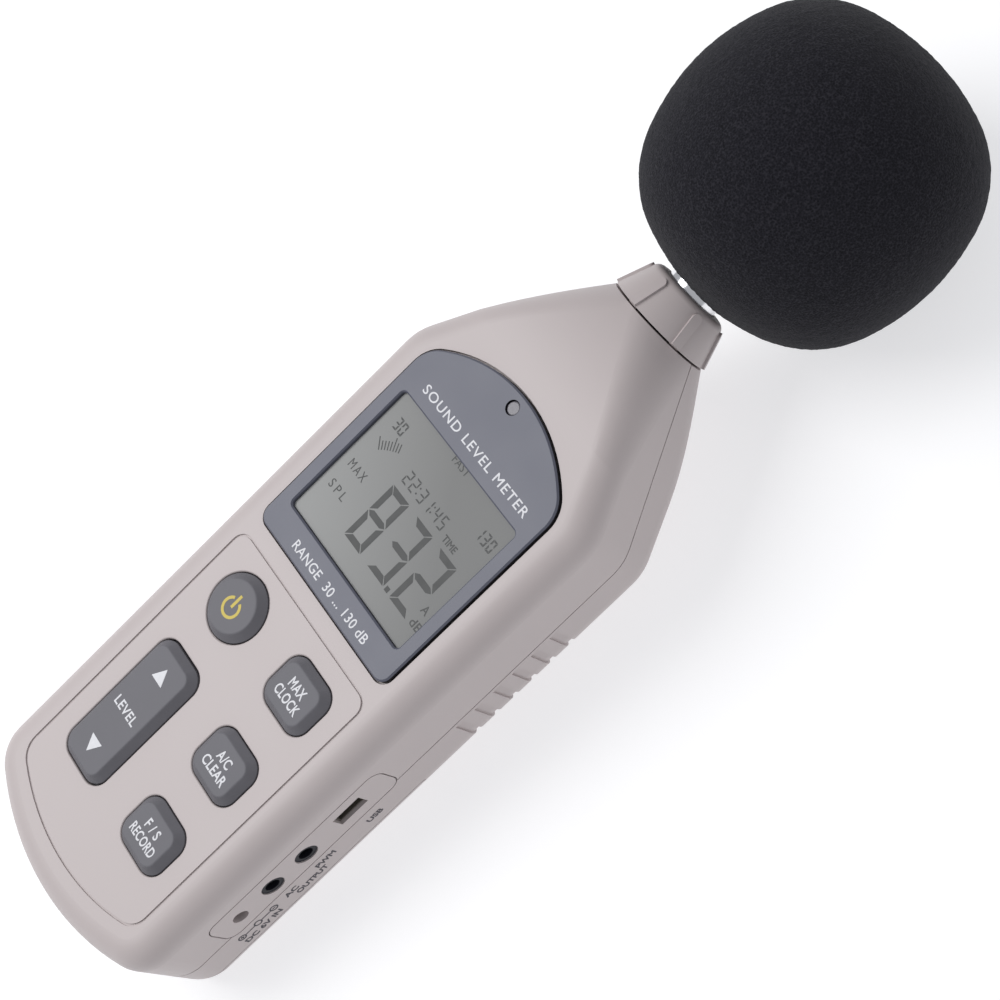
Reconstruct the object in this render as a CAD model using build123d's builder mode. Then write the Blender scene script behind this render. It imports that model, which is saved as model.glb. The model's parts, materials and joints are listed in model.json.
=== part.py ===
"""Hand-held sound level meter with a foam windscreen.

Frame: origin at the mouth of the tripod thread on the back of the case, +X to the
socket side, +Y along the case towards the microphone, +Z out of the display face.
All sizes are in millimetres.
"""
from build123d import *
from math import atan2, cos, hypot, radians, sin, sqrt
import os

os.makedirs("parts", exist_ok=True)

# ---------------------------------------------------------------- driving dimensions
# Stack from the back face to the display face
door_t = 1.6            # battery door skin
cell_gap = 0.2          # play around a cell
cell_d = 14.2           # AA cell diameter
roof_t = 0.8            # wall between the cells and the board
jack_h = 5.0            # sockets hang this far under the board
board_t = 1.6
zebra_h = 6.3           # rubber connector strips under the display glass
glass_t = 2.2           # display glass
lens_gap = 0.2
lens_t = 1.0            # clear window
bezel_t = 2.4
bezel_rise = 0.9        # bezel stands this far above the face

# Face layout, along the case from its lower end
tripod_from_end = 96.0
pad_margin = 9.9        # lower end to the keypad groove
first_row = 31.9        # lower end to the first key row
key_pitch = 23.0
pad_head = 4.85         # top key to the keypad groove
bezel_lead = 4.8        # keypad groove to the bezel
window_lead = 7.7       # bezel edge to the display window
window_w = 45.5
window_h = 36.2
bezel_head = 19.65      # display window to the top of the bezel arch
bezel_w = 53.0
bezel_arch_r = 39.0
bezel_arch_corner = 8.0
bezel_corner = 3.0
bezel_play = 0.5
bezel_edge = 0.4        # chamfer round the bezel
window_edge = 0.35      # chamfer round the display window
pad_w = 54.0
pad_arc_r = 59.0
pad_corner = 3.5
pad_arc_corner = 5.5
groove_w = 0.6
groove_depth = 0.4
indicator_drop = 3.45   # bezel arch top down to the indicator
indicator_r = 1.8
pad_rim = 1.5           # keypad groove to the start of the edge rounding

# Case
front_r = 6.5
back_r = 7.5
wall = 2.2
end_arc_r = 66.0        # shallow arc of the lower end
corner_r = 11.0
shoulder_drop = 9.65    # bezel arch top down to where the taper starts
flat_beyond = 3.95      # the face stays flat this far beyond the bezel
taper_len = 39.0
neck_r = 13.1
neck_short = 0.1        # corners of the neck stop this short of a full round
blend_r = 14.0          # rounding of the shoulder
taper_steps = 3         # cross-sections that the tapering end is lofted through
seam_z = 15.5           # parting line of the two shells
seam_neck_z = 18.5      # parting line at the neck
seam_gap = 0.3
lip_h = 1.6             # tongue of the rear shell inside the front shell
lip_inset = 1.0
lip_play = 0.1
over = 5.0              # cutters run this far past the case
bite = 0.1              # joined bodies overlap by this
skin_bite = 0.2         # and inner walls run this far into the case wall

# Keys
key_w = 16.3            # key opening
key_h = 14.1
power_d = 16.6
key_x = 13.4            # key columns each side of the centre line
key_corner = 4.4
key_play = 0.3          # gap round a key
opening_edge = 0.4
key_rise = 2.0          # key top above the face
key_slope = 1.7         # inset of the key's top against its foot
key_edge = 0.6
key_travel = 0.8
flange_w = 1.1          # rim that keeps a key inside the case
flange_t = 1.2
flange_drop = 0.2       # gap between the rim and the display face
foot_clear = 0.6        # a pressed key's foot to the mat
dome_h = 1.1
dome_r = 4.2
mat_t = 1.2
stem_r = 2.5
level_play = 0.5        # gap at the ends of the rocking key
level_lift = 1.1        # room above the rocking key's flange
ridge_r = 0.9           # rounded crest that the long key rocks on
ridge_len = 11.4
ridge_play = 0.1
mat_inset = 1.5
mat_play = 0.5          # round the domes and the bosses

# Socket side
panel_from_end = 25.5
panel_len = 53.8
panel_z = 19.9          # centre height of the socket panel
panel_h = 10.8
panel_corner = 3.0
panel_play = 0.3
dc_from_end = 32.4
audio_from_end = 42.8   # AC output, the PWM output is one pitch on
audio_pitch = 10.6
usb_from_end = 67.7
audio_hole_r = 2.95
plug_r = 1.8            # bore for a 3.5 mm plug
plug_depth = 11.0
jack_w = 6.5
jack_depth = 12.0
jack_gap = 0.1          # panel to the sockets' bodies
nozzle_play = 0.1
nozzle_recess = 0.3     # sockets stop this far inside the panel's face
dc_hole_r = 2.0
dc_pin_r = 0.5
dc_depth = 8.0
usb_w = 7.7
usb_h = 3.9
usb_wall = 0.4
usb_play = 0.15
usb_depth = 9.0
usb_recess = 0.9
usb_back = 1.5          # back wall
usb_tongue_t = 1.0
usb_tongue_in = 3.0     # tongue ends this far inside the panel's face
panel_lap = 1.0         # flange of the panel behind the case wall
panel_flange_t = 1.2

# Microphone end
collar_gap = 0.5
collar_len = 9.5
collar_top_r = 9.8
collar_round = 2.0
rib_count = 6
rib_start = 35.0        # degrees from +X towards +Z
rib_w = 2.4
rib_out = 0.55
rib_root = 1.0          # ribs start this deep in the collar
rib_share = 0.75        # of the collar's slanted side
sleeve_r = 8.6
sleeve_lead = 3.0
collar_hold = 4.0       # the sleeve enters the collar this far
collar_play = 0.4
holder_len = 14.0
holder_play = 0.05
neck_play = 0.1
barrel_r = 6.6
barrel_wall = 0.7
mic_reach = 30.0        # barrel beyond the collar
ring_w = 0.8            # groove behind the protective cap
ring_depth = 0.4
cap_len = 7.0
cap_round = 0.6
grid_t = 0.8
slot_count = 8
slot_r = 0.55
slot_len = 2.2
slot_ring_r = 4.1       # middle of the slots
capsule_len = 9.0
capsule_play = 0.05
membrane_rim = 0.8
membrane_drop = 0.3
preamp_w = 9.4
preamp_t = 1.2
preamp_tail = 38.0
preamp_overlap = 5.0
header_inset = 2.5
header_w = 2.4
foam_r = 35.0
foam_flat_r = 50.7      # the ball is flatter at its poles and round its middle
foam_round_r = 25.0     # and rounder in between
foam_gap = 0.7          # collar to foam
foam_play = 0.3

# Batteries and door
cell_len = 49.0
nub_len = 1.2
nub_r = 2.6
cell_edge = 0.5
cell_count = 4
cell_play = 0.3         # between neighbouring cells
spring_room = 5.8
leaf_w = 5.0
leaf_t = 0.4
leaf_h = 3.2            # half the height of the leaf
leaf_fold = 0.35        # share of the room where the leaf folds inwards
leaf_play = 0.05
plate_t = 0.5           # contact plates
plate_w = 10.0
bay_wall = 1.2
bay_from_end = 19.0
door_len = 81.0         # lower end of the case to the top edge of the door
door_h = 6.5            # height of the door's sides
door_play = 0.3
seat_t = 1.5            # floor of the rear shell above the door
rail_t = 1.0
rail_lap = 1.4
tab_w = 4.0             # snap tab of the door, narrow enough to run between two cells
tab_t = 1.2
tab_reach = 2.2
thumb_w = 26.0
thumb_h = 14.0
thumb_depth = 0.6
thumb_ridge_len = 18.2
thumb_ridge_w = 1.2
thumb_ridges = 3
thumb_from_top = 20.0

# Finger grooves of the rear shell
grip_count = 6
grip_from_end = 96.4
grip_pitch = 5.75
grip_w = 2.2
grip_depth = 0.55
grip_top_z = 14.3
grip_reach = 13.0       # grooves end this far in from the sides of the case

# Threaded insert
insert_r = 4.5
thread_r = 2.55         # 1/4-20 UNC, minor diameter
insert_len = 8.0
insert_wall = 2.0       # boss around the insert

# Screws and their bosses
screw_r = 1.2
screw_head_r = 2.2
screw_head_h = 1.6
screw_cross_len = 2.9
screw_cross_w = 0.6
screw_cross_depth = 0.8
screw_play = 0.1
screw_bite = 8.0        # beyond the parting line, half of it in the board's bosses
boss_r = 2.8
low_head_z = 7.0        # seats of the screw heads
high_head_z = 2.4
low_screw_x = 24.0
low_screw_from_end = 11.0
high_screw_x = 29.7
high_screw_from_end = 135.0
board_screw_x = (27.5, 20.0)
board_screw_from_end = (20.0, 147.0)

# Circuit board
board_from_end = 16.0
board_low_w = 63.0
board_step_from_end = 95.0
board_high_w = 52.4
board_corner = 3.0
board_tail = 1.6        # board's top edge below the bezel arch top

# Display
glass_w = 50.0
glass_h = 40.0
frame_wall = 1.2
window_corner = 1.2
lens_w = 49.0
lens_h = 39.0
lens_play = 0.15
indicator_rim = 0.8
indicator_play = 0.1
indicator_sink = 0.4    # lens below the bezel's top
led_base_t = 1.0
led_step = 0.3          # base and body, and body and lens, differ by this
led_round = 1.2
zebra_w = 2.2
zebra_len = 46.0
frame_play = 0.1
shelf_w = 1.6
chip_w = 14.0
chip_t = 1.6
chip_edge = 0.3

# ---------------------------------------------------------------- derived places
cell_z = door_t + cell_gap + cell_d / 2
roof_z = door_t + 2 * cell_gap + cell_d
board_z = roof_z + roof_t + cell_gap + jack_h
board_top = board_z + board_t
glass_z = board_top + zebra_h
lens_z = glass_z + glass_t + lens_gap
bezel_z = lens_z + lens_t
case_t = bezel_z + bezel_t - bezel_rise
axis_z = case_t / 2
half_w = pad_w / 2 + pad_rim + front_r

end_y = -tripod_from_end
row_y = [end_y + first_row + key_pitch * row for row in range(3)]
pad_top = row_y[2] + key_h / 2 + pad_head
bezel_y = pad_top + bezel_lead
window_y = bezel_y + window_lead
arch_y = window_y + window_h + bezel_head
shoulder_y = arch_y - shoulder_drop
flat_y = arch_y + flat_beyond
neck_y = shoulder_y + taper_len
collar_y = neck_y + collar_gap
collar_top_y = collar_y + collar_len
foam_y = collar_top_y + foam_gap + foam_r
tip_y = collar_top_y + mic_reach
cap_y = tip_y - cap_len

bay_y = end_y + bay_from_end
bay_len = cell_len + nub_len + spring_room + 2 * plate_t
cell_pitch = cell_d + cell_play
bay_w = cell_count * cell_pitch
door_y = end_y + door_len


def across(y):
    """Plane square to the case axis at y, with local x, y along X, Z."""
    return Plane.XZ.offset(-y)


# ---------------------------------------------------------------- case form
def section(y, width, low, high, high_r, low_r):
    """Rounded cross-section of the case at y."""
    with BuildSketch(across(y)) as face:
        with Locations((0, (low + high) / 2)):
            Rectangle(width, high - low)
        rows = face.vertices().group_by(Axis.Z)
        fillet(rows[-1], high_r)
        fillet(rows[0], low_r)
    return face.sketch.face()


def case_form(inset=0.0):
    """The whole case as one solid, drawn in by inset on every side."""
    hw = half_w - inset
    arc_r = end_arc_r - inset
    corner_y = end_y + end_arc_r - sqrt(arc_r**2 - hw**2)
    narrowing = (half_w - neck_r) / taper_len
    flat_w = half_w - narrowing * (flat_y - shoulder_y) - inset
    neck = neck_r - inset
    with BuildPart() as form:
        with BuildSketch(Plane.XY.offset(inset)) as plan:
            with BuildLine():
                Polyline((-hw, corner_y), (-hw, shoulder_y), (-flat_w, flat_y),
                         (flat_w, flat_y), (hw, shoulder_y), (hw, corner_y))
                ThreePointArc((hw, corner_y), (0, end_y + inset), (-hw, corner_y))
            make_face()
            fillet(plan.vertices().group_by(Axis.Y)[0], corner_r - inset)
            fillet(plan.vertices().group_by(Axis.Y)[-2], blend_r - inset)
        extrude(amount=case_t - 2 * inset)
        for side, radius in ((-1, front_r), (0, back_r)):
            rim = form.faces().sort_by(Axis.Z)[side].edges()
            fillet(rim.filter_by(lambda e: e.center().Y < flat_y - 0.1), radius - inset)
        stations = [form.faces().sort_by(Axis.Y)[-1]]
        for step in range(1, taper_steps + 1):
            share = step / taper_steps
            y = flat_y + (neck_y - flat_y) * share
            drop = inset + (axis_z - neck_r) * share**2
            width = 2 * (flat_w + (neck - flat_w) * share)
            high_r = front_r - inset + (neck_r - neck_short - front_r) * share
            low_r = back_r - inset + (neck_r - neck_short - back_r) * share
            stations.append(section(y, width, drop, case_t - drop, high_r, low_r))
        loft(stations)
    return form.part


def centre_and_size(x_span, y_span, z_span):
    spans = (x_span, y_span, z_span)
    middle = tuple((low + high) / 2 for low, high in spans)
    return middle, tuple(high - low for low, high in spans)


def block(x_span, y_span, z_span, mode=Mode.ADD):
    """Box between three pairs of limits, in the part being built."""
    middle, size = centre_and_size(x_span, y_span, z_span)
    with Locations(middle):
        Box(*size, mode=mode)


def slice_of(form, y_span, z_span, x_span=(-half_w - 1, half_w + 1)):
    """The stretch of a form between two heights and two places along the case."""
    middle, size = centre_and_size(x_span, y_span, z_span)
    return form & (Pos(*middle) * Box(*size, mode=Mode.PRIVATE))


def parting(shift, far_z):
    """Side-on region, local x along the case, on one side of the shells' parting line."""
    low_y, high_y = end_y - over, neck_y + over
    with BuildSketch() as region:
        Polygon(
            (low_y, seam_z + shift), (shoulder_y, seam_z + shift),
            (neck_y, seam_neck_z + shift), (high_y, seam_neck_z + shift),
            (high_y, far_z), (low_y, far_z), align=None)
    return region.sketch


def arched(width, flat_edge, apex, arch_r, corner, arch_corner, grow=0.0):
    """Panel outline with one straight end and one arched end."""
    way = 1 if apex > flat_edge else -1
    hw = width / 2 + grow
    edge = flat_edge - way * grow
    spring = apex - way * (arch_r - sqrt((arch_r + grow)**2 - hw**2))
    with BuildSketch() as outline:
        with BuildLine():
            Polyline((-hw, spring), (-hw, edge), (hw, edge), (hw, spring))
            ThreePointArc((hw, spring), (0, apex + way * grow), (-hw, spring))
        make_face()
        rows = outline.vertices().group_by(Axis.Y)[::way]
        fillet(rows[0], corner + grow)
        rows = outline.vertices().group_by(Axis.Y)[::way]
        fillet(rows[-1], arch_corner + grow)
    return outline.sketch


def bezel_outline(grow=0.0):
    return arched(bezel_w, bezel_y, arch_y, bezel_arch_r, bezel_corner, bezel_arch_corner, grow)


def pad_outline(grow=0.0):
    return arched(pad_w, pad_top, end_y + pad_margin, pad_arc_r, pad_corner, pad_arc_corner, grow)


# ---------------------------------------------------------------- shared forms
outer = case_form()
inner = case_form(wall)
window_mid = (0, window_y + window_h / 2)
indicator_at = (0, arch_y - indicator_drop)
face_in = case_t - wall                     # inside of the display face

# name: x, y, length of its opening (None for the round one)
keys = {
    "power_key": (-key_x, row_y[2], None),
    "max_key": (key_x, row_y[2], key_h),
    "weighting_key": (key_x, row_y[1], key_h),
    "response_key": (key_x, row_y[0], key_h),
    "level_key": (-key_x, (row_y[0] + row_y[1]) / 2, key_pitch + key_h),
}
domes = {name: [(x, y)] for name, (x, y, length) in keys.items()}
domes["level_key"] = [(-key_x, row_y[0]), (-key_x, row_y[1])]
key_foot_z = board_top + mat_t + key_travel + foot_clear

low_screws = [(side * low_screw_x, end_y + low_screw_from_end) for side in (-1, 1)]
high_screws = [(side * high_screw_x, end_y + high_screw_from_end) for side in (-1, 1)]
board_holes = [(side * x, end_y + y) for side in (-1, 1)
               for x, y in zip(board_screw_x, board_screw_from_end)]

panel_low_y = end_y + panel_from_end
panel_span = (panel_low_y, panel_low_y + panel_len)
panel_plane = Plane((half_w - wall, sum(panel_span) / 2, panel_z), x_dir=(0, 1, 0), z_dir=(1, 0, 0))
audio_holes = [end_y + audio_from_end + audio_pitch * turn for turn in range(2)]
dc_y = end_y + dc_from_end
usb_y = end_y + usb_from_end

cell_x = [cell_pitch * (k - (cell_count - 1) / 2) for k in range(cell_count)]
bay_hw = bay_w / 2
bay_span = (bay_y, bay_y + bay_len)
tongue_z = door_h - door_play - rail_t
rail_z = tongue_z - door_play - rail_t
tab_z = wall + door_play
riser_y = door_y - door_play - 2 * tab_t
thumb_y = door_y - thumb_from_top
grip_skin = outer - case_form(grip_depth)


def key_plan(name, grow, end_grow=None):
    """Outline of a key or its opening, grown or shrunk from the opening."""
    x, y, length = keys[name]
    with BuildSketch() as plan:
        with Locations((x, y)):
            if length is None:
                Circle(power_d / 2 + grow)
            else:
                ends = grow if end_grow is None else end_grow
                RectangleRounded(key_w + 2 * grow, length + 2 * ends, key_corner + grow)
    return plan.sketch


def seam_band(form, low, high):
    """The stretch of a form between two heights above the parting line."""
    with BuildPart() as band:
        add(form)
        with BuildSketch(Plane.YZ):
            Polygon(
                (end_y - over, seam_z + low), (shoulder_y, seam_z + low), (neck_y, seam_neck_z + low),
                (neck_y, seam_neck_z + high), (shoulder_y, seam_z + high), (end_y - over, seam_z + high),
                align=None)
        extrude(amount=half_w + over, both=True, mode=Mode.INTERSECT)
    return band.part


lip_ring = seam_band(case_form(lip_inset) - inner, -wall, lip_h)
lip_rebate = seam_band(case_form(lip_inset - lip_play) - inner, 0, lip_h + lip_play)
with BuildPart() as panel_hole:
    with BuildSketch(panel_plane.offset(-1)):
        RectangleRounded(panel_len + 2 * panel_play, panel_h + 2 * panel_play,
                         panel_corner + panel_play)
    extrude(amount=wall + 2)


with BuildPart() as bay_body:
    block((-bay_hw - bay_wall, bay_hw + bay_wall),
          (bay_span[0] - bay_wall, bay_span[1] + bay_wall), (0, roof_z + roof_t))
    add(case_form(door_t + door_play), mode=Mode.INTERSECT)


# ---------------------------------------------------------------- case
with BuildPart() as front_shell:
    add(outer)
    add(inner, mode=Mode.SUBTRACT)
    with BuildSketch(Plane.YZ):
        add(parting(seam_gap / 2, case_t + over))
    extrude(amount=half_w + over, both=True, mode=Mode.INTERSECT)
    add(lip_rebate, mode=Mode.SUBTRACT)
    # Ledge under the bezel
    with BuildSketch(Plane.XY.offset(lens_z)):
        add(bezel_outline(wall / 2))
    extrude(amount=bezel_z - lens_z)
    # Bosses for the case screws and the board screws
    with BuildSketch(Plane.XY.offset(seam_z + seam_gap / 2)):
        with Locations(*low_screws, *high_screws):
            Circle(boss_r)
    extrude(amount=face_in + bite - seam_z)
    with BuildSketch(Plane.XY.offset(board_top)):
        with Locations(*board_holes):
            Circle(boss_r)
    extrude(amount=face_in + bite - board_top)
    with BuildSketch(Plane.XY.offset(seam_z)):
        with Locations(*low_screws, *high_screws, *board_holes):
            Circle(screw_r + screw_play)
    extrude(amount=lens_z - seam_z - 1, mode=Mode.SUBTRACT)
    # Bezel pocket, window and indicator hole
    with BuildSketch(Plane.XY.offset(bezel_z)):
        add(bezel_outline(bezel_play))
    extrude(amount=wall + 1, mode=Mode.SUBTRACT)
    with BuildSketch(Plane.XY.offset(lens_z - 1)):
        with Locations(window_mid):
            RectangleRounded(lens_w + 2 * lens_play, lens_h + 2 * lens_play, window_corner)
        with Locations(indicator_at):
            Circle(indicator_r + indicator_rim + lens_play)
    extrude(amount=wall + 2, mode=Mode.SUBTRACT)
    # Key openings and the groove round the keypad
    with BuildSketch(Plane.XY.offset(face_in - 1)):
        for name in keys:
            add(key_plan(name, 0.0))
    extrude(amount=wall + 2, mode=Mode.SUBTRACT)
    with BuildSketch(Plane.XY.offset(case_t - groove_depth)):
        add(pad_outline(groove_w / 2))
        add(pad_outline(-groove_w / 2), mode=Mode.SUBTRACT)
    extrude(amount=1, mode=Mode.SUBTRACT)
    pad_face = front_shell.faces().filter_by(lambda face: len(face.inner_wires()) == len(keys))
    fillet(pad_face.sort_by(Axis.Z)[-1].inner_wires().edges(), opening_edge)
    add(panel_hole.part, mode=Mode.SUBTRACT)

front_shell.part.label = "front_shell"
export_step(front_shell.part, "parts/front_shell.step")

with BuildPart() as rear_shell:
    add(outer)
    add(inner, mode=Mode.SUBTRACT)
    with BuildSketch(Plane.YZ):
        add(parting(-seam_gap / 2, -over))
    extrude(amount=half_w + over, both=True, mode=Mode.INTERSECT)
    add(lip_ring)
    # The door takes the lower end of the back; a floor and a step wall close the shell behind it
    block((-half_w - 1, half_w + 1), (end_y - 1, door_y), (-1, door_h), mode=Mode.SUBTRACT)
    add(slice_of(case_form(wall - skin_bite), (end_y, door_y + seat_t), (door_h, door_h + seat_t)))
    add(slice_of(case_form(skin_bite), (door_y, door_y + seat_t), (skin_bite, door_h + seat_t)))
    # Battery bay, open to the door, with a rail on each side that holds the door up
    add(bay_body.part)
    for side in (-1, 1):
        rail_x = sorted((side * (bay_hw + bay_wall - bite), side * (bay_hw + bay_wall + rail_lap)))
        block(rail_x, bay_span, (rail_z, rail_z + rail_t))
    block((-bay_hw, bay_hw), bay_span, (-1, roof_z), mode=Mode.SUBTRACT)
    # Screw bosses and the boss of the threaded insert
    with BuildSketch(Plane.XY.offset(door_h)):
        with Locations(*low_screws):
            Circle(boss_r)
    extrude(amount=seam_z - seam_gap / 2 - door_h)
    with BuildSketch(Plane.XY.offset(wall / 2)):
        with Locations(*high_screws):
            Circle(boss_r)
    extrude(amount=seam_z - seam_gap / 2 - wall / 2)
    with BuildSketch(Plane.XY.offset(wall / 2)):
        Circle(insert_r + insert_wall)
    extrude(amount=insert_len + insert_wall - wall / 2)
    with BuildSketch():
        Circle(insert_r)
    extrude(amount=insert_len, mode=Mode.SUBTRACT)
    with BuildSketch():
        with Locations(*low_screws, *high_screws):
            Circle(screw_r + screw_play)
    extrude(amount=seam_z, mode=Mode.SUBTRACT)
    for spots, seat in ((low_screws, low_head_z), (high_screws, high_head_z)):
        with BuildSketch(Plane.XY.offset(seat + screw_head_h)):
            with Locations(*spots):
                Circle(screw_head_r + screw_play)
        extrude(amount=-seat - screw_head_h - 1, mode=Mode.SUBTRACT)
    # Slot for the door's snap tab
    block((-tab_w / 2 - door_play, tab_w / 2 + door_play), (door_y - 1, door_y + seat_t + 1),
          (wall, tab_z + tab_t + door_play), mode=Mode.SUBTRACT)
    add(panel_hole.part, mode=Mode.SUBTRACT)
    # Finger grooves that wrap both back edges
    for count in range(grip_count):
        low = end_y + grip_from_end + grip_pitch * count
        for side in (-1, 1):
            grip_x = sorted((side * (half_w - grip_reach), side * (half_w + 1)))
            add(slice_of(grip_skin, (low, low + grip_w), (-1, grip_top_z), grip_x), mode=Mode.SUBTRACT)

rear_shell.part.label = "rear_shell"
export_step(rear_shell.part, "parts/rear_shell.step")

with BuildPart() as tripod_insert:
    with BuildSketch():
        Circle(insert_r)
        Circle(thread_r, mode=Mode.SUBTRACT)
    extrude(amount=insert_len)

tripod_insert.part.label = "tripod_insert"
export_step(tripod_insert.part, "parts/tripod_insert.step")

with BuildPart() as battery_door:
    add(slice_of(outer, (end_y - 1, door_y - door_play), (-1, door_h - door_play)))
    add(case_form(door_t), mode=Mode.SUBTRACT)
    # Tongues that run in the shell's rails
    for side in (-1, 1):
        tongue_x = sorted((side * (bay_hw + bay_wall + door_play), side * (half_w - door_t + skin_bite)))
        block(tongue_x, (bay_span[0] + 2, bay_span[1] - 2), (tongue_z, tongue_z + rail_t))
    # Snap tab with its riser
    block((-tab_w / 2, tab_w / 2), (riser_y, door_y + tab_reach), (tab_z, tab_z + tab_t))
    block((-tab_w / 2, tab_w / 2), (riser_y, riser_y + tab_t), (door_t / 2, tab_z + tab_t))
    # Thumb grip: a shallow dish crossed by ridges
    with BuildSketch():
        with Locations((0, thumb_y)):
            RectangleRounded(thumb_w, thumb_h, thumb_h / 3)
        with Locations((0, thumb_y)):
            with GridLocations(0, thumb_h / (thumb_ridges + 1), 1, thumb_ridges):
                Rectangle(thumb_ridge_len, thumb_ridge_w, mode=Mode.SUBTRACT)
    extrude(amount=thumb_depth, mode=Mode.SUBTRACT)

battery_door.part.label = "battery_door"
export_step(battery_door.part, "parts/battery_door.step")

with BuildPart() as case_screws:
    for spots, seat in ((low_screws, low_head_z), (high_screws, high_head_z)):
        with BuildSketch(Plane.XY.offset(seat)):
            with Locations(*spots):
                Circle(screw_head_r)
        extrude(amount=screw_head_h)
        with BuildSketch(Plane.XY.offset(seat)):
            with Locations(*spots):
                Circle(screw_r)
        extrude(amount=seam_z + screw_bite - seat)
        with BuildSketch(Plane.XY.offset(seat)):
            with Locations(*spots):
                Rectangle(screw_cross_len, screw_cross_w)
                Rectangle(screw_cross_w, screw_cross_len)
        extrude(amount=screw_cross_depth, mode=Mode.SUBTRACT)

case_screws.part.label = "case_screws"
export_step(case_screws.part, "parts/case_screws.step")

# ---------------------------------------------------------------- display
with BuildPart() as display_bezel:
    with BuildSketch(Plane.XY.offset(bezel_z)):
        add(bezel_outline())
        with Locations(window_mid):
            RectangleRounded(window_w, window_h, window_corner, mode=Mode.SUBTRACT)
        with Locations(indicator_at):
            Circle(indicator_r, mode=Mode.SUBTRACT)
    extrude(amount=bezel_t)
    top = display_bezel.faces().sort_by(Axis.Z)[-1]
    chamfer(top.inner_wires().sort_by(SortBy.LENGTH)[-1].edges(), window_edge)
    chamfer(display_bezel.faces().sort_by(Axis.Z)[-1].outer_wire().edges(), bezel_edge)

display_bezel.part.label = "display_bezel"
export_step(display_bezel.part, "parts/display_bezel.step")

with BuildPart() as lcd_window:
    with BuildSketch(Plane.XY.offset(lens_z)):
        with Locations(window_mid):
            RectangleRounded(lens_w, lens_h, window_corner)
    extrude(amount=lens_t)

lcd_window.part.label = "lcd_window"
export_step(lcd_window.part, "parts/lcd_window.step")

with BuildPart() as lcd_panel:
    with BuildSketch(Plane.XY.offset(glass_z)):
        with Locations(window_mid):
            Rectangle(glass_w, glass_h)
    extrude(amount=glass_t / 2)
    with BuildSketch(Plane.XY.offset(glass_z + glass_t / 2)):
        with Locations(window_mid):
            Rectangle(glass_w, glass_h - 2 * zebra_w)
    extrude(amount=glass_t / 2)

lcd_panel.part.label = "lcd_panel"
export_step(lcd_panel.part, "parts/lcd_panel.step")

with BuildPart() as lcd_frame:
    with BuildSketch(Plane.XY.offset(board_top)):
        with Locations(window_mid):
            Rectangle(glass_w + 2 * (frame_wall + frame_play), glass_h + 2 * (frame_wall + frame_play))
            Rectangle(glass_w + 2 * frame_play, glass_h + 2 * frame_play, mode=Mode.SUBTRACT)
    extrude(amount=zebra_h + glass_t)
    # Shelf that carries the long edges of the glass
    with BuildSketch(Plane.XY.offset(glass_z)):
        with Locations(window_mid):
            with GridLocations(glass_w + 2 * frame_play - shelf_w, 0, 2, 1):
                Rectangle(shelf_w, glass_h - 2 * zebra_w)
    extrude(amount=-shelf_w)

lcd_frame.part.label = "lcd_frame"
export_step(lcd_frame.part, "parts/lcd_frame.step")

with BuildPart() as zebra_strips:
    with BuildSketch(Plane.XY.offset(board_top)):
        with Locations(window_mid):
            with GridLocations(0, glass_h - zebra_w, 1, 2):
                Rectangle(zebra_len, zebra_w)
    extrude(amount=zebra_h)

zebra_strips.part.label = "zebra_strips"
export_step(zebra_strips.part, "parts/zebra_strips.step")

with BuildPart() as indicator_lens:
    with BuildSketch(Plane.XY.offset(lens_z)):
        with Locations(indicator_at):
            Circle(indicator_r + indicator_rim)
    extrude(amount=lens_t)
    with BuildSketch(Plane.XY.offset(bezel_z)):
        with Locations(indicator_at):
            Circle(indicator_r - indicator_play)
    extrude(amount=bezel_t - indicator_sink)
    fillet(indicator_lens.edges().group_by(Axis.Z)[-1], indicator_sink)

indicator_lens.part.label = "indicator_lens"
export_step(indicator_lens.part, "parts/indicator_lens.step")

with BuildPart() as indicator_led:
    with BuildSketch(Plane.XY.offset(board_top)):
        with Locations(indicator_at):
            Circle(indicator_r)
    extrude(amount=led_base_t)
    with BuildSketch(Plane.XY.offset(board_top)):
        with Locations(indicator_at):
            Circle(indicator_r - led_step)
    extrude(amount=lens_z - board_top - led_step)
    fillet(indicator_led.edges().group_by(Axis.Z)[-1], led_round)

indicator_led.part.label = "indicator_led"
export_step(indicator_led.part, "parts/indicator_led.step")

# ---------------------------------------------------------------- circuit board
board_foot_y = end_y + board_from_end
board_step_y = end_y + board_step_from_end
board_head_y = arch_y - board_tail
with BuildPart() as main_board:
    with BuildSketch(Plane.XY.offset(board_z)) as board_plan:
        with BuildLine():
            Polyline(
                (-board_low_w / 2, board_foot_y), (board_low_w / 2, board_foot_y),
                (board_low_w / 2, board_step_y), (board_high_w / 2, board_step_y),
                (board_high_w / 2, board_head_y), (-board_high_w / 2, board_head_y),
                (-board_high_w / 2, board_step_y), (-board_low_w / 2, board_step_y), close=True)
        make_face()
        fillet(board_plan.vertices().group_by(Axis.Y)[0], board_corner)
        fillet(board_plan.vertices().group_by(Axis.Y)[-1], board_corner)
        with Locations(*board_holes):
            Circle(screw_r + screw_play, mode=Mode.SUBTRACT)
    extrude(amount=board_t)

main_board.part.label = "main_board"
export_step(main_board.part, "parts/main_board.step")

with BuildPart() as board_screws:
    with BuildSketch(Plane.XY.offset(board_z - screw_head_h)):
        with Locations(*board_holes):
            Circle(screw_head_r)
    extrude(amount=screw_head_h)
    with BuildSketch(Plane.XY.offset(board_z)):
        with Locations(*board_holes):
            Circle(screw_r)
    extrude(amount=board_t + screw_bite / 2)

board_screws.part.label = "board_screws"
export_step(board_screws.part, "parts/board_screws.step")

with BuildPart() as controller_chip:
    with BuildSketch(Plane.XY.offset(board_z)):
        with Locations(window_mid):
            Rectangle(chip_w, chip_w)
    extrude(amount=-chip_t)
    chamfer(controller_chip.faces().sort_by(Axis.Z)[0].edges(), chip_edge)

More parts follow.
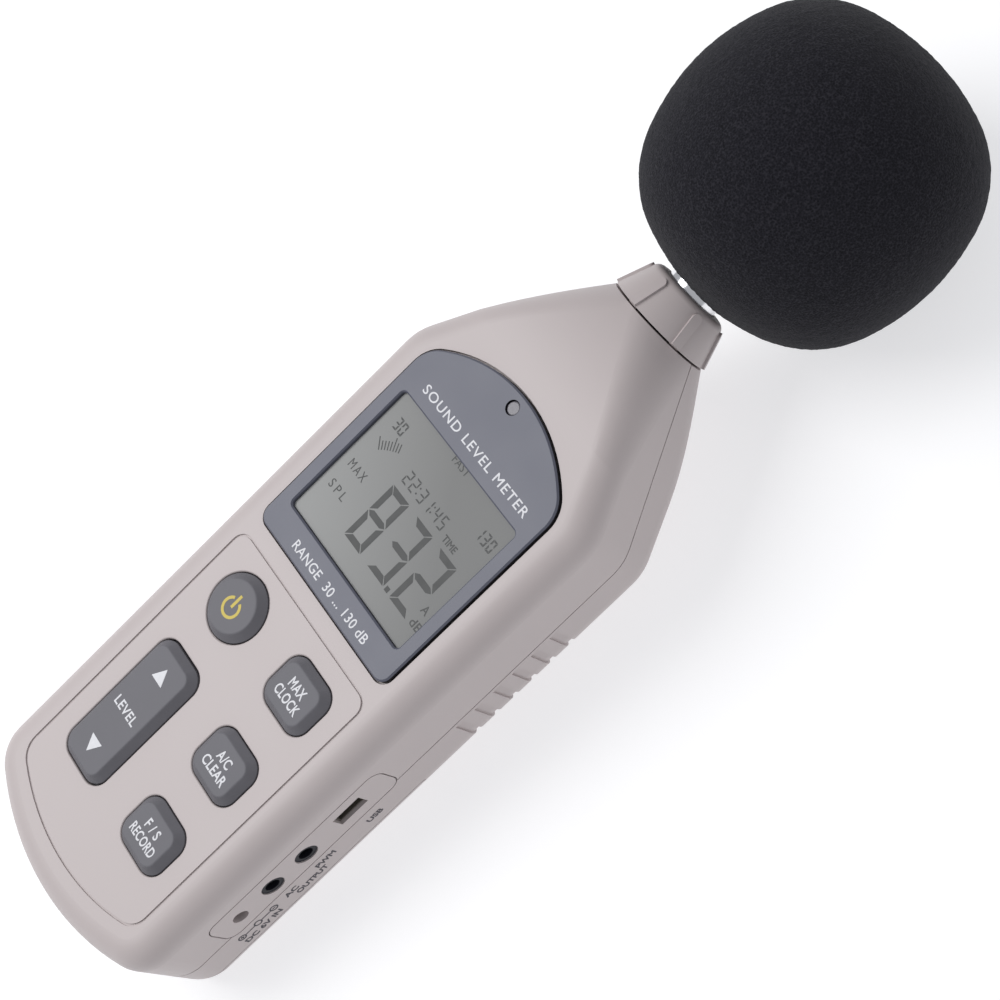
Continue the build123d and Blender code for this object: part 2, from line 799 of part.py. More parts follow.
controller_chip.part.label = "controller_chip"
export_step(controller_chip.part, "parts/controller_chip.step")

# ---------------------------------------------------------------- keys
with BuildPart() as keypad_mat:
    with BuildSketch(Plane.XY.offset(board_top)):
        add(pad_outline(-mat_inset))
        for spots in domes.values():
            with Locations(*spots):
                Circle(dome_r + mat_play, mode=Mode.SUBTRACT)
        with Locations(*[spot for spot in board_holes if spot[1] < pad_top]):
            Circle(boss_r + mat_play, mode=Mode.SUBTRACT)
    extrude(amount=mat_t)
    # Ridge that the long key rocks on, its crest rounded about the key's axis
    level_x, level_y, level_len = keys["level_key"]
    with BuildSketch(Plane.YZ.offset(level_x - ridge_len / 2)):
        with Locations((level_y, key_foot_z)):
            Circle(ridge_r)
        with Locations((level_y, (key_foot_z + board_top) / 2)):
            Rectangle(2 * ridge_r, key_foot_z - board_top)
    extrude(amount=ridge_len)

keypad_mat.part.label = "keypad_mat"
export_step(keypad_mat.part, "parts/keypad_mat.step")

for name, spots in domes.items():
    for turn, spot in enumerate(spots):
        dome_name = name.replace("key", "dome") if len(spots) == 1 else f"level_dome_{turn + 1}"
        with BuildPart() as dome:
            with BuildSketch(Plane.XY.offset(board_top)):
                with Locations(spot):
                    Circle(dome_r)
            with BuildSketch(Plane.XY.offset(board_top + dome_h)):
                with Locations(spot):
                    Circle(stem_r)
            loft()
        dome.part.label = dome_name
        export_step(dome.part, f"parts/{dome_name}.step")

for name, spots in domes.items():
    rocks = name == "level_key"
    ends = -level_play if rocks else -key_play
    flange_top = face_in - (level_lift if rocks else flange_drop)
    with BuildPart() as key:
        with BuildSketch(Plane.XY.offset(flange_top)):
            add(key_plan(name, -key_play, ends))
        extrude(amount=case_t - flange_top)
        with BuildSketch(Plane.XY.offset(case_t)):
            add(key_plan(name, -key_play, ends))
        with BuildSketch(Plane.XY.offset(case_t + key_rise)):
            add(key_plan(name, -key_play - key_slope, ends - key_slope))
        loft()
        fillet(key.faces().sort_by(Axis.Z)[-1].edges(), key_edge)
        with BuildSketch(Plane.XY.offset(flange_top)):
            add(key_plan(name, flange_w))
        extrude(amount=-flange_t)
        with BuildSketch(Plane.XY.offset(flange_top - flange_t)):
            add(key_plan(name, -key_slope))
        extrude(amount=key_foot_z - flange_top + flange_t)
        with BuildSketch(Plane.XY.offset(key_foot_z)):
            with Locations(*spots):
                Circle(stem_r)
        extrude(amount=board_top + dome_h - key_foot_z)
        if rocks:
            with BuildSketch(Plane.YZ.offset(level_x - half_w)):
                with Locations((level_y, key_foot_z)):
                    Circle(ridge_r + ridge_play)
            extrude(amount=2 * half_w, mode=Mode.SUBTRACT)
    key.part.label = name
    export_step(key.part, f"parts/{name}.step")

# ---------------------------------------------------------------- sockets
with BuildPart() as port_panel:
    with BuildSketch(panel_plane):
        RectangleRounded(panel_len, panel_h, panel_corner)
    extrude(amount=wall)
    with BuildSketch(panel_plane):
        RectangleRounded(panel_len + 2 * panel_lap, panel_h + 2 * panel_lap, panel_corner)
    extrude(amount=-panel_flange_t)
    with BuildSketch(Plane.YZ.offset(half_w)):
        with Locations((dc_y, board_z - jack_h / 2)):
            Circle(dc_hole_r)
        with Locations(*[(y, board_z - jack_h / 2) for y in audio_holes]):
            Circle(audio_hole_r)
        with Locations((usb_y, board_z - usb_h / 2)):
            Rectangle(usb_w + 2 * usb_play, usb_h + 2 * usb_play)
    extrude(amount=-wall - panel_flange_t, mode=Mode.SUBTRACT)

port_panel.part.label = "port_panel"
export_step(port_panel.part, "parts/port_panel.step")

socket_x = half_w - wall - panel_flange_t - jack_gap  # front of the sockets' bodies
for name, y in (("ac_jack", audio_holes[0]), ("pwm_jack", audio_holes[1])):
    with BuildPart() as jack:
        block((socket_x - jack_depth, socket_x), (y - jack_w / 2, y + jack_w / 2),
              (board_z - jack_h, board_z))
        with BuildSketch(Plane.YZ.offset(socket_x)):
            with Locations((y, board_z - jack_h / 2)):
                Circle(audio_hole_r - nozzle_play)
        extrude(amount=half_w - nozzle_recess - socket_x)
        with BuildSketch(Plane.YZ.offset(half_w)):
            with Locations((y, board_z - jack_h / 2)):
                Circle(plug_r)
        extrude(amount=-plug_depth - nozzle_recess, mode=Mode.SUBTRACT)
    jack.part.label = name
    export_step(jack.part, f"parts/{name}.step")

with BuildPart() as dc_jack:
    block((socket_x - jack_depth, socket_x), (dc_y - jack_w / 2, dc_y + jack_w / 2),
          (board_z - jack_h, board_z))
    with BuildSketch(Plane.YZ.offset(socket_x)):
        with Locations((dc_y, board_z - jack_h / 2)):
            Circle(dc_hole_r - nozzle_play)
            Circle(dc_pin_r, mode=Mode.SUBTRACT)
    extrude(amount=-dc_depth, mode=Mode.SUBTRACT)

dc_jack.part.label = "dc_jack"
export_step(dc_jack.part, "parts/dc_jack.step")

with BuildPart() as usb_socket:
    block((socket_x - usb_depth, half_w - usb_recess),
          (usb_y - usb_w / 2, usb_y + usb_w / 2), (board_z - usb_h, board_z))
    block((socket_x - usb_depth + usb_back, half_w),
          (usb_y - usb_w / 2 + usb_wall, usb_y + usb_w / 2 - usb_wall),
          (board_z - usb_h + usb_wall, board_z - usb_wall), mode=Mode.SUBTRACT)
    block((socket_x - usb_depth + usb_back - bite, half_w - usb_tongue_in),
          (usb_y - usb_w / 4, usb_y + usb_w / 4),
          (board_z - (usb_h + usb_tongue_t) / 2, board_z - (usb_h - usb_tongue_t) / 2))

usb_socket.part.label = "usb_socket"
export_step(usb_socket.part, "parts/usb_socket.step")

# ---------------------------------------------------------------- batteries
for count, x in enumerate(cell_x):
    way = 1 if count % 2 else -1            # neighbouring cells point opposite ways
    nub_end = bay_span[1] - plate_t if way > 0 else bay_span[0] + plate_t
    foot = nub_end - way * (nub_len + cell_len)
    cell_plane = Plane((x, foot, cell_z), x_dir=(1, 0, 0), z_dir=(0, way, 0))
    with BuildPart() as battery:
        with BuildSketch(cell_plane):
            Circle(cell_d / 2)
        extrude(amount=cell_len)
        chamfer(battery.edges().filter_by(GeomType.CIRCLE), cell_edge)
        with BuildSketch(cell_plane):
            Circle(nub_r)
        extrude(amount=cell_len + nub_len)
    battery.part.label = f"battery_{count + 1}"
    export_step(battery.part, f"parts/battery_{count + 1}.step")

with BuildPart() as contact_plates:
    for x in cell_x:
        for low_y in (bay_span[0], bay_span[1] - plate_t):
            block((x - plate_w / 2, x + plate_w / 2), (low_y, low_y + plate_t),
                  (cell_z - plate_w / 2, cell_z + plate_w / 2))

contact_plates.part.label = "contact_plates"
export_step(contact_plates.part, "parts/contact_plates.step")

# Folded leaf at the flat end of each cell
with BuildPart() as contact_springs:
    for count, x in enumerate(cell_x):
        way = 1 if count % 2 else -1
        plate_y = bay_span[0] + plate_t if way > 0 else bay_span[1] - plate_t
        seat = plate_y + way * (leaf_t / 2 + leaf_play)
        tip = plate_y + way * (spring_room - leaf_t / 2 - leaf_play)
        bend = plate_y + way * spring_room * leaf_fold
        with BuildSketch(Plane.YZ.offset(x - leaf_w / 2)):
            with BuildLine():
                Polyline((seat, cell_z + leaf_h), (bend, cell_z + leaf_h), (tip, cell_z),
                         (bend, cell_z - leaf_h), (seat, cell_z - leaf_h))
                offset(amount=leaf_t / 2)
            make_face()
        extrude(amount=leaf_w)

contact_springs.part.label = "contact_springs"
export_step(contact_springs.part, "parts/contact_springs.step")

# ---------------------------------------------------------------- microphone end
spin = Axis((0, 0, axis_z), (0, 1, 0))
radial = Plane.XY.offset(axis_z)            # profiles of turned parts: local x is the radius

with BuildPart() as microphone_holder:
    with BuildSketch(radial):
        with BuildLine():
            Polyline(
                (barrel_r + holder_play, neck_y - holder_len), (sleeve_r, neck_y - holder_len),
                (sleeve_r, neck_y - sleeve_lead), (neck_r - wall - neck_play, neck_y - sleeve_lead),
                (neck_r - wall - neck_play, neck_y), (sleeve_r, neck_y),
                (sleeve_r, collar_y + collar_hold), (barrel_r + holder_play, collar_y + collar_hold),
                close=True)
        make_face()
    revolve(axis=spin)

microphone_holder.part.label = "microphone_holder"
export_step(microphone_holder.part, "parts/microphone_holder.step")

with BuildPart() as microphone_collar:
    with BuildSketch(radial):
        with BuildLine():
            Polyline(
                (sleeve_r + holder_play, collar_y), (neck_r, collar_y), (collar_top_r, collar_top_y),
                (barrel_r + collar_play, collar_top_y),
                (barrel_r + collar_play, collar_y + collar_hold + holder_play),
                (sleeve_r + holder_play, collar_y + collar_hold + holder_play), close=True)
        make_face()
    revolve(axis=spin)
    rims = microphone_collar.edges().filter_by(GeomType.CIRCLE).group_by(Axis.Y)[-1]
    fillet(rims.sort_by(SortBy.RADIUS)[-1], collar_round)
    # Grip ribs, laid along the cone
    lean = atan2(neck_r - collar_top_r, collar_len)
    slant = hypot(neck_r - collar_top_r, collar_len)
    for turn in range(rib_count):
        angle = radians(rib_start + 360 / rib_count * turn)
        foot = Vector(neck_r * cos(angle), collar_y, axis_z + neck_r * sin(angle))
        outward = Vector(cos(lean) * cos(angle), sin(lean), cos(lean) * sin(angle))
        with BuildSketch(Plane(foot, x_dir=(-sin(angle), 0, cos(angle)), z_dir=outward).offset(-rib_root)):
            with Locations((0, -slant * rib_share / 2)):
                Rectangle(rib_w, slant * rib_share)
            with Locations((0, -slant * rib_share)):
                Circle(rib_w / 2)
        extrude(amount=rib_root + rib_out)

microphone_collar.part.label = "microphone_collar"
export_step(microphone_collar.part, "parts/microphone_collar.step")

with BuildPart() as microphone_barrel:
    with BuildSketch(radial):
        with BuildLine():
            Polyline(
                (barrel_r - barrel_wall, neck_y - holder_len), (barrel_r, neck_y - holder_len),
                (barrel_r, cap_y - ring_w), (barrel_r - ring_depth, cap_y - ring_w),
                (barrel_r - ring_depth, cap_y),
                (barrel_r - barrel_wall, cap_y), close=True)
        make_face()
    revolve(axis=spin)

microphone_barrel.part.label = "microphone_barrel"
export_step(microphone_barrel.part, "parts/microphone_barrel.step")

capsule_r = barrel_r - barrel_wall - capsule_play
membrane_r = capsule_r - membrane_rim
with BuildPart() as microphone_capsule:
    with BuildSketch(radial):
        with BuildLine():
            Polyline(
                (0, cap_y - capsule_len), (capsule_r, cap_y - capsule_len),
                (capsule_r, cap_y - membrane_drop), (membrane_r, cap_y - membrane_drop),
                (membrane_r, cap_y), (0, cap_y), close=True)
        make_face()
    revolve(axis=spin)

microphone_capsule.part.label = "microphone_capsule"
export_step(microphone_capsule.part, "parts/microphone_capsule.step")

with BuildPart() as microphone_grid:
    with BuildSketch(across(cap_y)):
        with Locations((0, axis_z)):
            Circle(barrel_r)
    extrude(amount=-cap_len)
    with BuildSketch(across(cap_y)):
        with Locations((0, axis_z)):
            Circle(barrel_r - barrel_wall)
    extrude(amount=-cap_len + grid_t, mode=Mode.SUBTRACT)
    fillet(microphone_grid.edges().group_by(Axis.Y)[-1], cap_round)
    with BuildSketch(across(tip_y)):
        with Locations((0, axis_z)):
            Circle(slot_r)
            with PolarLocations(slot_ring_r, slot_count):
                SlotOverall(slot_len, 2 * slot_r)
    extrude(amount=grid_t + bite, mode=Mode.SUBTRACT)

microphone_grid.part.label = "microphone_grid"
export_step(microphone_grid.part, "parts/microphone_grid.step")

preamp_y = (neck_y - preamp_tail, neck_y - holder_len + preamp_overlap)
with BuildPart() as preamp_board:
    block((-preamp_w / 2, preamp_w / 2), preamp_y,
          (axis_z - preamp_t / 2, axis_z + preamp_t / 2))

preamp_board.part.label = "preamp_board"
export_step(preamp_board.part, "parts/preamp_board.step")

with BuildPart() as link_header:
    header_y = preamp_y[0] + header_inset
    block((-preamp_w / 2, preamp_w / 2), (header_y - header_w / 2, header_y + header_w / 2),
          (axis_z + preamp_t / 2, board_z))

link_header.part.label = "link_header"
export_step(link_header.part, "parts/link_header.step")

# ---------------------------------------------------------------- windscreen
flat_c = foam_r - foam_flat_r       # centres of the flatter arcs lie this far beyond the middle
round_c = (flat_c + sqrt(2 * (foam_flat_r - foam_round_r)**2 - flat_c**2)) / 2
reach = foam_flat_r / hypot(round_c - flat_c, round_c)
side = flat_c + (round_c - flat_c) * reach      # where the arcs meet, from the ball's middle
rise = round_c * reach
low_pole, high_pole = (0, foam_y - foam_r), (0, foam_y + foam_r)
with BuildPart() as windscreen:
    with BuildSketch(radial):
        with BuildLine():
            RadiusArc(low_pole, (rise, foam_y - side), -foam_flat_r)
            RadiusArc((rise, foam_y - side), (side, foam_y - rise), -foam_round_r)
            RadiusArc((side, foam_y - rise), (side, foam_y + rise), -foam_flat_r)
            RadiusArc((side, foam_y + rise), (rise, foam_y + side), -foam_round_r)
            RadiusArc((rise, foam_y + side), high_pole, -foam_flat_r)
            Line(high_pole, low_pole)
        make_face()
    revolve(axis=spin)
    with BuildSketch(across(foam_y - foam_r - 1)):
        with Locations((0, axis_z)):
            Circle(barrel_r + foam_play)
    extrude(amount=-(tip_y + foam_play - foam_y + foam_r + 1), mode=Mode.SUBTRACT)

windscreen.part.label = "windscreen"
export_step(windscreen.part, "parts/windscreen.step")
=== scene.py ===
"""Looks of the hand-held sound level meter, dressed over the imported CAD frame.

The frame is in metres. Sizes written in millimetres are scaled by MM.
"""
import json
import math

import bpy
from mathutils import Matrix, Vector, noise


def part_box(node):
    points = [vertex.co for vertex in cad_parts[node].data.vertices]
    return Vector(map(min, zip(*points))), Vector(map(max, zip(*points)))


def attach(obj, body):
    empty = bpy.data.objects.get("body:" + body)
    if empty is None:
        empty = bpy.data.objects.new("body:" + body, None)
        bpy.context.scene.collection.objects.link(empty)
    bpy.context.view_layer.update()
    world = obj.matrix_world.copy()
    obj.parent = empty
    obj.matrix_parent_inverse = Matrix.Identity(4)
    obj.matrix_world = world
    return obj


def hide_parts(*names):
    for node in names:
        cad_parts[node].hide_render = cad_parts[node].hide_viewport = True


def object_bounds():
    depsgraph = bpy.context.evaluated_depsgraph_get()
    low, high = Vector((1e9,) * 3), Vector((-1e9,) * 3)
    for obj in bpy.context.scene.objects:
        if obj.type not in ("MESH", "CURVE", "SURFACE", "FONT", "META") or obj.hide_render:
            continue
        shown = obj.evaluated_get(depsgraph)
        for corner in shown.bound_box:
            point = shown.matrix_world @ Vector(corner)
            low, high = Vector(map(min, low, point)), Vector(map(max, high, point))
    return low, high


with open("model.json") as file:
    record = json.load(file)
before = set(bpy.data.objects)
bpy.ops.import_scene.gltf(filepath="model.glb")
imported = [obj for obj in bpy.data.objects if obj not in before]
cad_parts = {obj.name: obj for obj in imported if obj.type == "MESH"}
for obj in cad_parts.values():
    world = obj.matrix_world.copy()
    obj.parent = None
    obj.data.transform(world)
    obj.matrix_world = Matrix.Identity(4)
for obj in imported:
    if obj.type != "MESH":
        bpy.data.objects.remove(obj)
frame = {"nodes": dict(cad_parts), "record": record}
cad_low, cad_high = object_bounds()
nodes = frame["nodes"]
MM = 0.001
CASE = "case"                                   # body that most prints ride on


# ---------------------------------------------------------------- camera and light
CAMERA_PLACE = (0.26449, 0.14014, 0.47100)
CAMERA_TURN = (16.0304, 27.6565, 52.7256)       # degrees; rolled, so the meter lies slantwise
CAMERA_LENS = 87.21
WORLD_COLOR = (0.94, 0.96, 1.0, 1.0)
WORLD_STRENGTH = 0.45
KEY_PLACE = (-0.36, -0.16, 0.78)
KEY_SIZE = 0.60
KEY_POWER = 5.2


def link_object(name, data):
    obj = bpy.data.objects.new(name, data)
    bpy.context.scene.collection.objects.link(obj)
    return obj


def add_camera():
    """Camera at the angle from which such a meter is usually pictured."""
    data = bpy.data.cameras.new("camera")
    data.lens = CAMERA_LENS
    data.sensor_width = 36.0
    data.clip_start = 0.01
    data.clip_end = 20.0
    camera = link_object("camera", data)
    camera.location = CAMERA_PLACE
    camera.rotation_euler = [math.radians(angle) for angle in CAMERA_TURN]
    bpy.context.scene.camera = camera


def add_world():
    """Dim, slightly cool surroundings, so that the sides fall off from the front."""
    world = bpy.data.worlds.new("studio")
    world.use_nodes = True
    background = world.node_tree.nodes["Background"]
    background.inputs["Color"].default_value = WORLD_COLOR
    background.inputs["Strength"].default_value = WORLD_STRENGTH
    bpy.context.scene.world = world


def add_key_light():
    """One large soft light, high above the meter and to its left, aimed at its middle."""
    data = bpy.data.lights.new("key_light", "AREA")
    data.shape = "SQUARE"
    data.size = KEY_SIZE
    data.energy = KEY_POWER
    light = link_object("key_light", data)
    light.location = KEY_PLACE
    aim = (cad_low + cad_high) / 2 - Vector(KEY_PLACE)
    light.rotation_euler = aim.to_track_quat("-Z", "Y").to_euler()


add_camera()
add_world()
add_key_light()
bpy.context.scene.view_settings.view_transform = "Standard"


# ---------------------------------------------------------------- materials
BEZEL_SHADE_RIM = 0.002           # outer band of the bezel whose walls are painted black as shade
BEZEL_ARCH = 0.046          # lower edge of the bezel to the start of its arch
# painted shade: near black on the bezel's outer walls, for the shadow along its raised edge
WALL_SHADE_BLACK = (0.012, 0.012, 0.016, 1.0)
CELL_SCALE, FUZZ_SCALE = 2200.0, 2400.0     # foam cells, and the fuzz laid over them
CELL_SHARE = 0.6
FOAM_BUMP = (0.7, 0.00025)                  # strength and distance
DISPLAY_PAINTED_LIGHT_TURN, DISPLAY_PAINTED_LIGHT_SCALE, DISPLAY_PAINTED_LIGHT_START = -40.0, 17.0, 0.55       # painted light across the display: slant, steepness, start


def new_material(name):
    mat = bpy.data.materials.new(name)
    mat.use_nodes = True
    return mat, mat.node_tree, mat.node_tree.nodes["Principled BSDF"]


def object_place(tree):
    return tree.nodes.new("ShaderNodeTexCoord").outputs["Object"]


def color_ramp(tree, factor, stops):
    """Colour that runs through (position, rgb) stops as the factor grows."""
    node = tree.nodes.new("ShaderNodeValToRGB")
    elements = node.color_ramp.elements
    while len(elements) < len(stops):
        elements.new(1.0)
    for element, (position, rgb) in zip(elements, stops):
        element.position = position
        element.color = rgb + (1.0,)
    tree.links.new(factor, node.inputs["Fac"])
    return node.outputs["Color"]


def noise_texture(tree, place, scale, detail):
    node = tree.nodes.new("ShaderNodeTexNoise")
    node.inputs["Scale"].default_value = scale
    node.inputs["Detail"].default_value = detail
    tree.links.new(place, node.inputs["Vector"])
    return node


def add_bump(tree, shader, height, strength, distance):
    bump = tree.nodes.new("ShaderNodeBump")
    bump.inputs["Strength"].default_value = strength
    bump.inputs["Distance"].default_value = distance
    tree.links.new(height, bump.inputs["Height"])
    tree.links.new(bump.outputs["Normal"], shader.inputs["Normal"])


def finish(name, color, roughness, mottle=(90, 0.03), grain=(2500, 0.06, 0.00004), rough_swing=0.06,
           **sockets):
    """Surface with faint mottling, moulded or cast grain, and a roughness that wanders a little.

    mottle is (scale, share of the colour); grain is (scale, bump strength, bump distance).
    """
    mat, tree, shader = new_material(name)
    place = object_place(tree)
    patches = noise_texture(tree, place, mottle[0], 3.0).outputs["Fac"]
    darker = tuple(min(1.0, c * (1 - mottle[1])) for c in color)
    lighter = tuple(min(1.0, c * (1 + mottle[1])) for c in color)
    tree.links.new(color_ramp(tree, patches, [(0.3, darker), (0.7, lighter)]), shader.inputs["Base Color"])
    rub = tree.nodes.new("ShaderNodeMapRange")
    rub.inputs["To Min"].default_value = roughness - rough_swing
    rub.inputs["To Max"].default_value = roughness + rough_swing
    tree.links.new(patches, rub.inputs["Value"])
    tree.links.new(rub.outputs["Result"], shader.inputs["Roughness"])
    add_bump(tree, shader, noise_texture(tree, place, grain[0], 2.0).outputs["Fac"], *grain[1:])
    for socket, value in sockets.items():
        shader.inputs[socket.replace("_", " ")].default_value = value
    return mat


def foam_material():
    """Open-cell foam: black and fuzzy, a little paler on the cell walls."""
    mat, tree, shader = new_material("foam")
    place = object_place(tree)
    cells = tree.nodes.new("ShaderNodeTexVoronoi")
    cells.feature = "F1"
    cells.inputs["Scale"].default_value = CELL_SCALE
    tree.links.new(place, cells.inputs["Vector"])
    fuzz = noise_texture(tree, place, FUZZ_SCALE, 4.0)
    fuzz.inputs["Roughness"].default_value = 0.7
    blend = tree.nodes.new("ShaderNodeMath")
    blend.operation = "MULTIPLY_ADD"
    blend.inputs[1].default_value = CELL_SHARE
    tree.links.new(cells.outputs["Distance"], blend.inputs[0])
    tree.links.new(fuzz.outputs["Fac"], blend.inputs[2])
    stops = [(0.50, (0.003, 0.003, 0.005)), (0.90, (0.015, 0.0145, 0.020)), (1.0, (0.024, 0.023, 0.029))]
    tree.links.new(color_ramp(tree, blend.outputs["Value"], stops), shader.inputs["Base Color"])
    add_bump(tree, shader, blend.outputs["Value"], *FOAM_BUMP)
    shader.inputs["Roughness"].default_value = 0.95
    shader.inputs["Specular IOR Level"].default_value = 0.10
    shader.inputs["Sheen Weight"].default_value = 0.07
    shader.inputs["Sheen Roughness"].default_value = 0.6
    return mat


def display_material():
    """Reflective display backing with painted light: lighter towards its lower left corner, darker towards
    the upper right.
    """
    mat, tree, shader = new_material("display_backing")
    spread = tree.nodes.new("ShaderNodeMapping")
    spread.inputs["Rotation"].default_value = (0.0, 0.0, math.radians(DISPLAY_PAINTED_LIGHT_TURN))
    spread.inputs["Scale"].default_value = (DISPLAY_PAINTED_LIGHT_SCALE, DISPLAY_PAINTED_LIGHT_SCALE, DISPLAY_PAINTED_LIGHT_SCALE)
    spread.inputs["Location"].default_value = (DISPLAY_PAINTED_LIGHT_START, 0.0, 0.0)
    tree.links.new(object_place(tree), spread.inputs["Vector"])
    slope = tree.nodes.new("ShaderNodeTexGradient")
    tree.links.new(spread.outputs["Vector"], slope.inputs["Vector"])
    # painted light and shade: pale at the lower left, dark at the upper right, as light falls across the
    # display
    stops = [(0.0, (0.325, 0.329, 0.323)), (1.0, (0.128, 0.130, 0.128))]
    tree.links.new(color_ramp(tree, slope.outputs["Fac"], stops), shader.inputs["Base Color"])
    shader.inputs["Roughness"].default_value = 0.42
    return mat


def bezel_material():
    """Grey plate whose outer side walls are painted black: painted shade along its raised edges."""
    mat = finish("bezel_plastic", (0.106, 0.110, 0.145), 0.42, mottle=(80, 0.02),
                 grain=(3500, 0.08, 0.00004))
    tree = mat.node_tree
    links = tree.links
    shader = tree.nodes["Principled BSDF"]
    grey = shader.inputs["Base Color"].links[0].from_socket
    place = tree.nodes.new("ShaderNodeSeparateXYZ")
    links.new(object_place(tree), place.inputs["Vector"])
    facing = tree.nodes.new("ShaderNodeSeparateXYZ")
    links.new(tree.nodes.new("ShaderNodeNewGeometry").outputs["True Normal"], facing.inputs["Vector"])

    def math_node(operation, first, second):
        node = tree.nodes.new("ShaderNodeMath")
        node.operation = operation
        for socket, value in zip(node.inputs, (first, second)):
            if isinstance(value, float):
                socket.default_value = value
            else:
                links.new(value, socket)
        return node.outputs["Value"]

    low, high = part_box("display_bezel")
    side = math_node("GREATER_THAN", math_node("ABSOLUTE", place.outputs["X"], 0.0), high.x - BEZEL_SHADE_RIM)
    foot = math_node("LESS_THAN", place.outputs["Y"], low.y + BEZEL_SHADE_RIM)
    arch = math_node("GREATER_THAN", place.outputs["Y"], low.y + BEZEL_ARCH)
    rim = math_node("MAXIMUM", math_node("MAXIMUM", side, foot), arch)
    wall = math_node("LESS_THAN", facing.outputs["Z"], 0.5)
    # painted shade: the outer walls take the near black colour
    blend = tree.nodes.new("ShaderNodeMix")
    blend.data_type = "RGBA"
    links.new(math_node("MULTIPLY", rim, wall), blend.inputs["Factor"])
    links.new(grey, blend.inputs["A"])
    blend.inputs["B"].default_value = WALL_SHADE_BLACK
    links.new(blend.outputs["Result"], shader.inputs["Base Color"])
    return mat


def clear_material():
    """Clear window: almost invisible, with the shine of its two faces."""
    mat, _, shader = new_material("clear_window")
    shader.inputs["Base Color"].default_value = (0.60, 0.60, 0.60, 1.0)
    shader.inputs["Roughness"].default_value = 0.04
    shader.inputs["Alpha"].default_value = 0.05
    return mat


black_plastic = finish("black_plastic", (0.010, 0.010, 0.016), 0.55, Specular_IOR_Level=0.3)
print_white = finish("print_white", (0.72, 0.72, 0.75), 0.5, mottle=(900, 0.04))
print_yellow = finish("print_yellow", (0.60, 0.47, 0.075), 0.5, mottle=(900, 0.05))
print_dark = finish("print_dark", (0.055, 0.050, 0.062), 0.6, mottle=(900, 0.1))
segment_ink = finish("segment_ink", (0.034, 0.036, 0.036), 0.5, mottle=(500, 0.05))
display_backing = display_material()
foam = foam_material()

SLOT_LOOKS = {
    "case_plastic": finish("case_plastic", (0.522, 0.464, 0.459), 0.46, mottle=(60, 0.012),
                           grain=(3200, 0.10, 0.00005)),
    "bezel_plastic": bezel_material(),
    "key_rubber": finish("key_rubber", (0.158, 0.155, 0.171), 0.60, mottle=(120, 0.04),
                         grain=(2800, 0.12, 0.00005), Specular_IOR_Level=0.35),
    "clear_window": clear_material(),
    "lcd_glass": display_backing,
    "indicator_plastic": finish("lens_plastic", (0.145, 0.138, 0.16), 0.25, mottle=(1200, 0.12)),
    "white_plastic": finish("white_plastic", (0.70, 0.70, 0.68), 0.5),
    "black_plastic": black_plastic,
    "black_rubber": black_plastic,
    "circuit_board": finish("board_green", (0.02, 0.12, 0.05), 0.35, mottle=(300, 0.2)),
    "steel": finish("steel", (0.62, 0.62, 0.64), 0.30, Metallic=1.0),
    "brass_insert": finish("brass", (0.78, 0.58, 0.26), 0.32, Metallic=1.0),
    "bright_metal": finish("bright_metal", (0.82, 0.82, 0.84), 0.14, rough_swing=0.03, Metallic=1.0),
    "battery_sleeve": finish("battery_sleeve", (0.035, 0.045, 0.06), 0.3),
    "foam": foam,
}
NODE_LOOKS = {
    # the jack's own dark tan plastic, darkened further as painted shade inside its hole
    "dc_jack": finish("dc_plastic_and_shade", (0.12, 0.105, 0.09), 0.5),
    # painted shade: the socket's shell is coloured dark brown for the shade inside its opening
    "usb_socket": finish("usb_metal_painted_shade", (0.15, 0.135, 0.115), 0.38, Metallic=0.5),
}


def paint(obj, mat):
    obj.data.materials.clear()
    obj.data.materials.append(mat)


for row in frame["record"]["subparts"]:
    paint(nodes[row["node"]], NODE_LOOKS.get(row["node"], SLOT_LOOKS[row["material_slot"]]))


# ---------------------------------------------------------------- flat prints and segments
FACE = Matrix.Identity(3)                                           # seen from +Z
SIDE = Matrix(((0, 0, 1), (1, 0, 0), (0, 1, 0)))                    # seen from +X, upright to +Z
PRINT_T = 0.04                                                      # mm, thickness of printed ink


def at(x, y, z):
    return Vector((x, y, z)) * MM


def link_piece(name, mesh, mat, body):
    piece = link_object(name, mesh)
    paint(piece, mat)
    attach(piece, body)
    return piece


def slab(name, outlines, origin, mat, body, thick=PRINT_T, facing=FACE):
    """Flat pieces of even thickness: each outline is a list of (x, y) in mm about the origin."""
    verts, faces = [], []
    for outline in outlines:
        first, count = len(verts), len(outline)
        for height in (0.0, thick):
            verts += [facing @ (Vector((x, y, height)) * MM) + origin for x, y in outline]
        faces.append([first + k for k in reversed(range(count))])
        faces.append([first + count + k for k in range(count)])
        for k in range(count):
            n = (k + 1) % count
            faces.append([first + k, first + n, first + count + n, first + count + k])
    mesh = bpy.data.meshes.new(name)
    mesh.from_pydata(verts, [], faces)
    mesh.validate()
    return link_piece(name, mesh, mat, body)


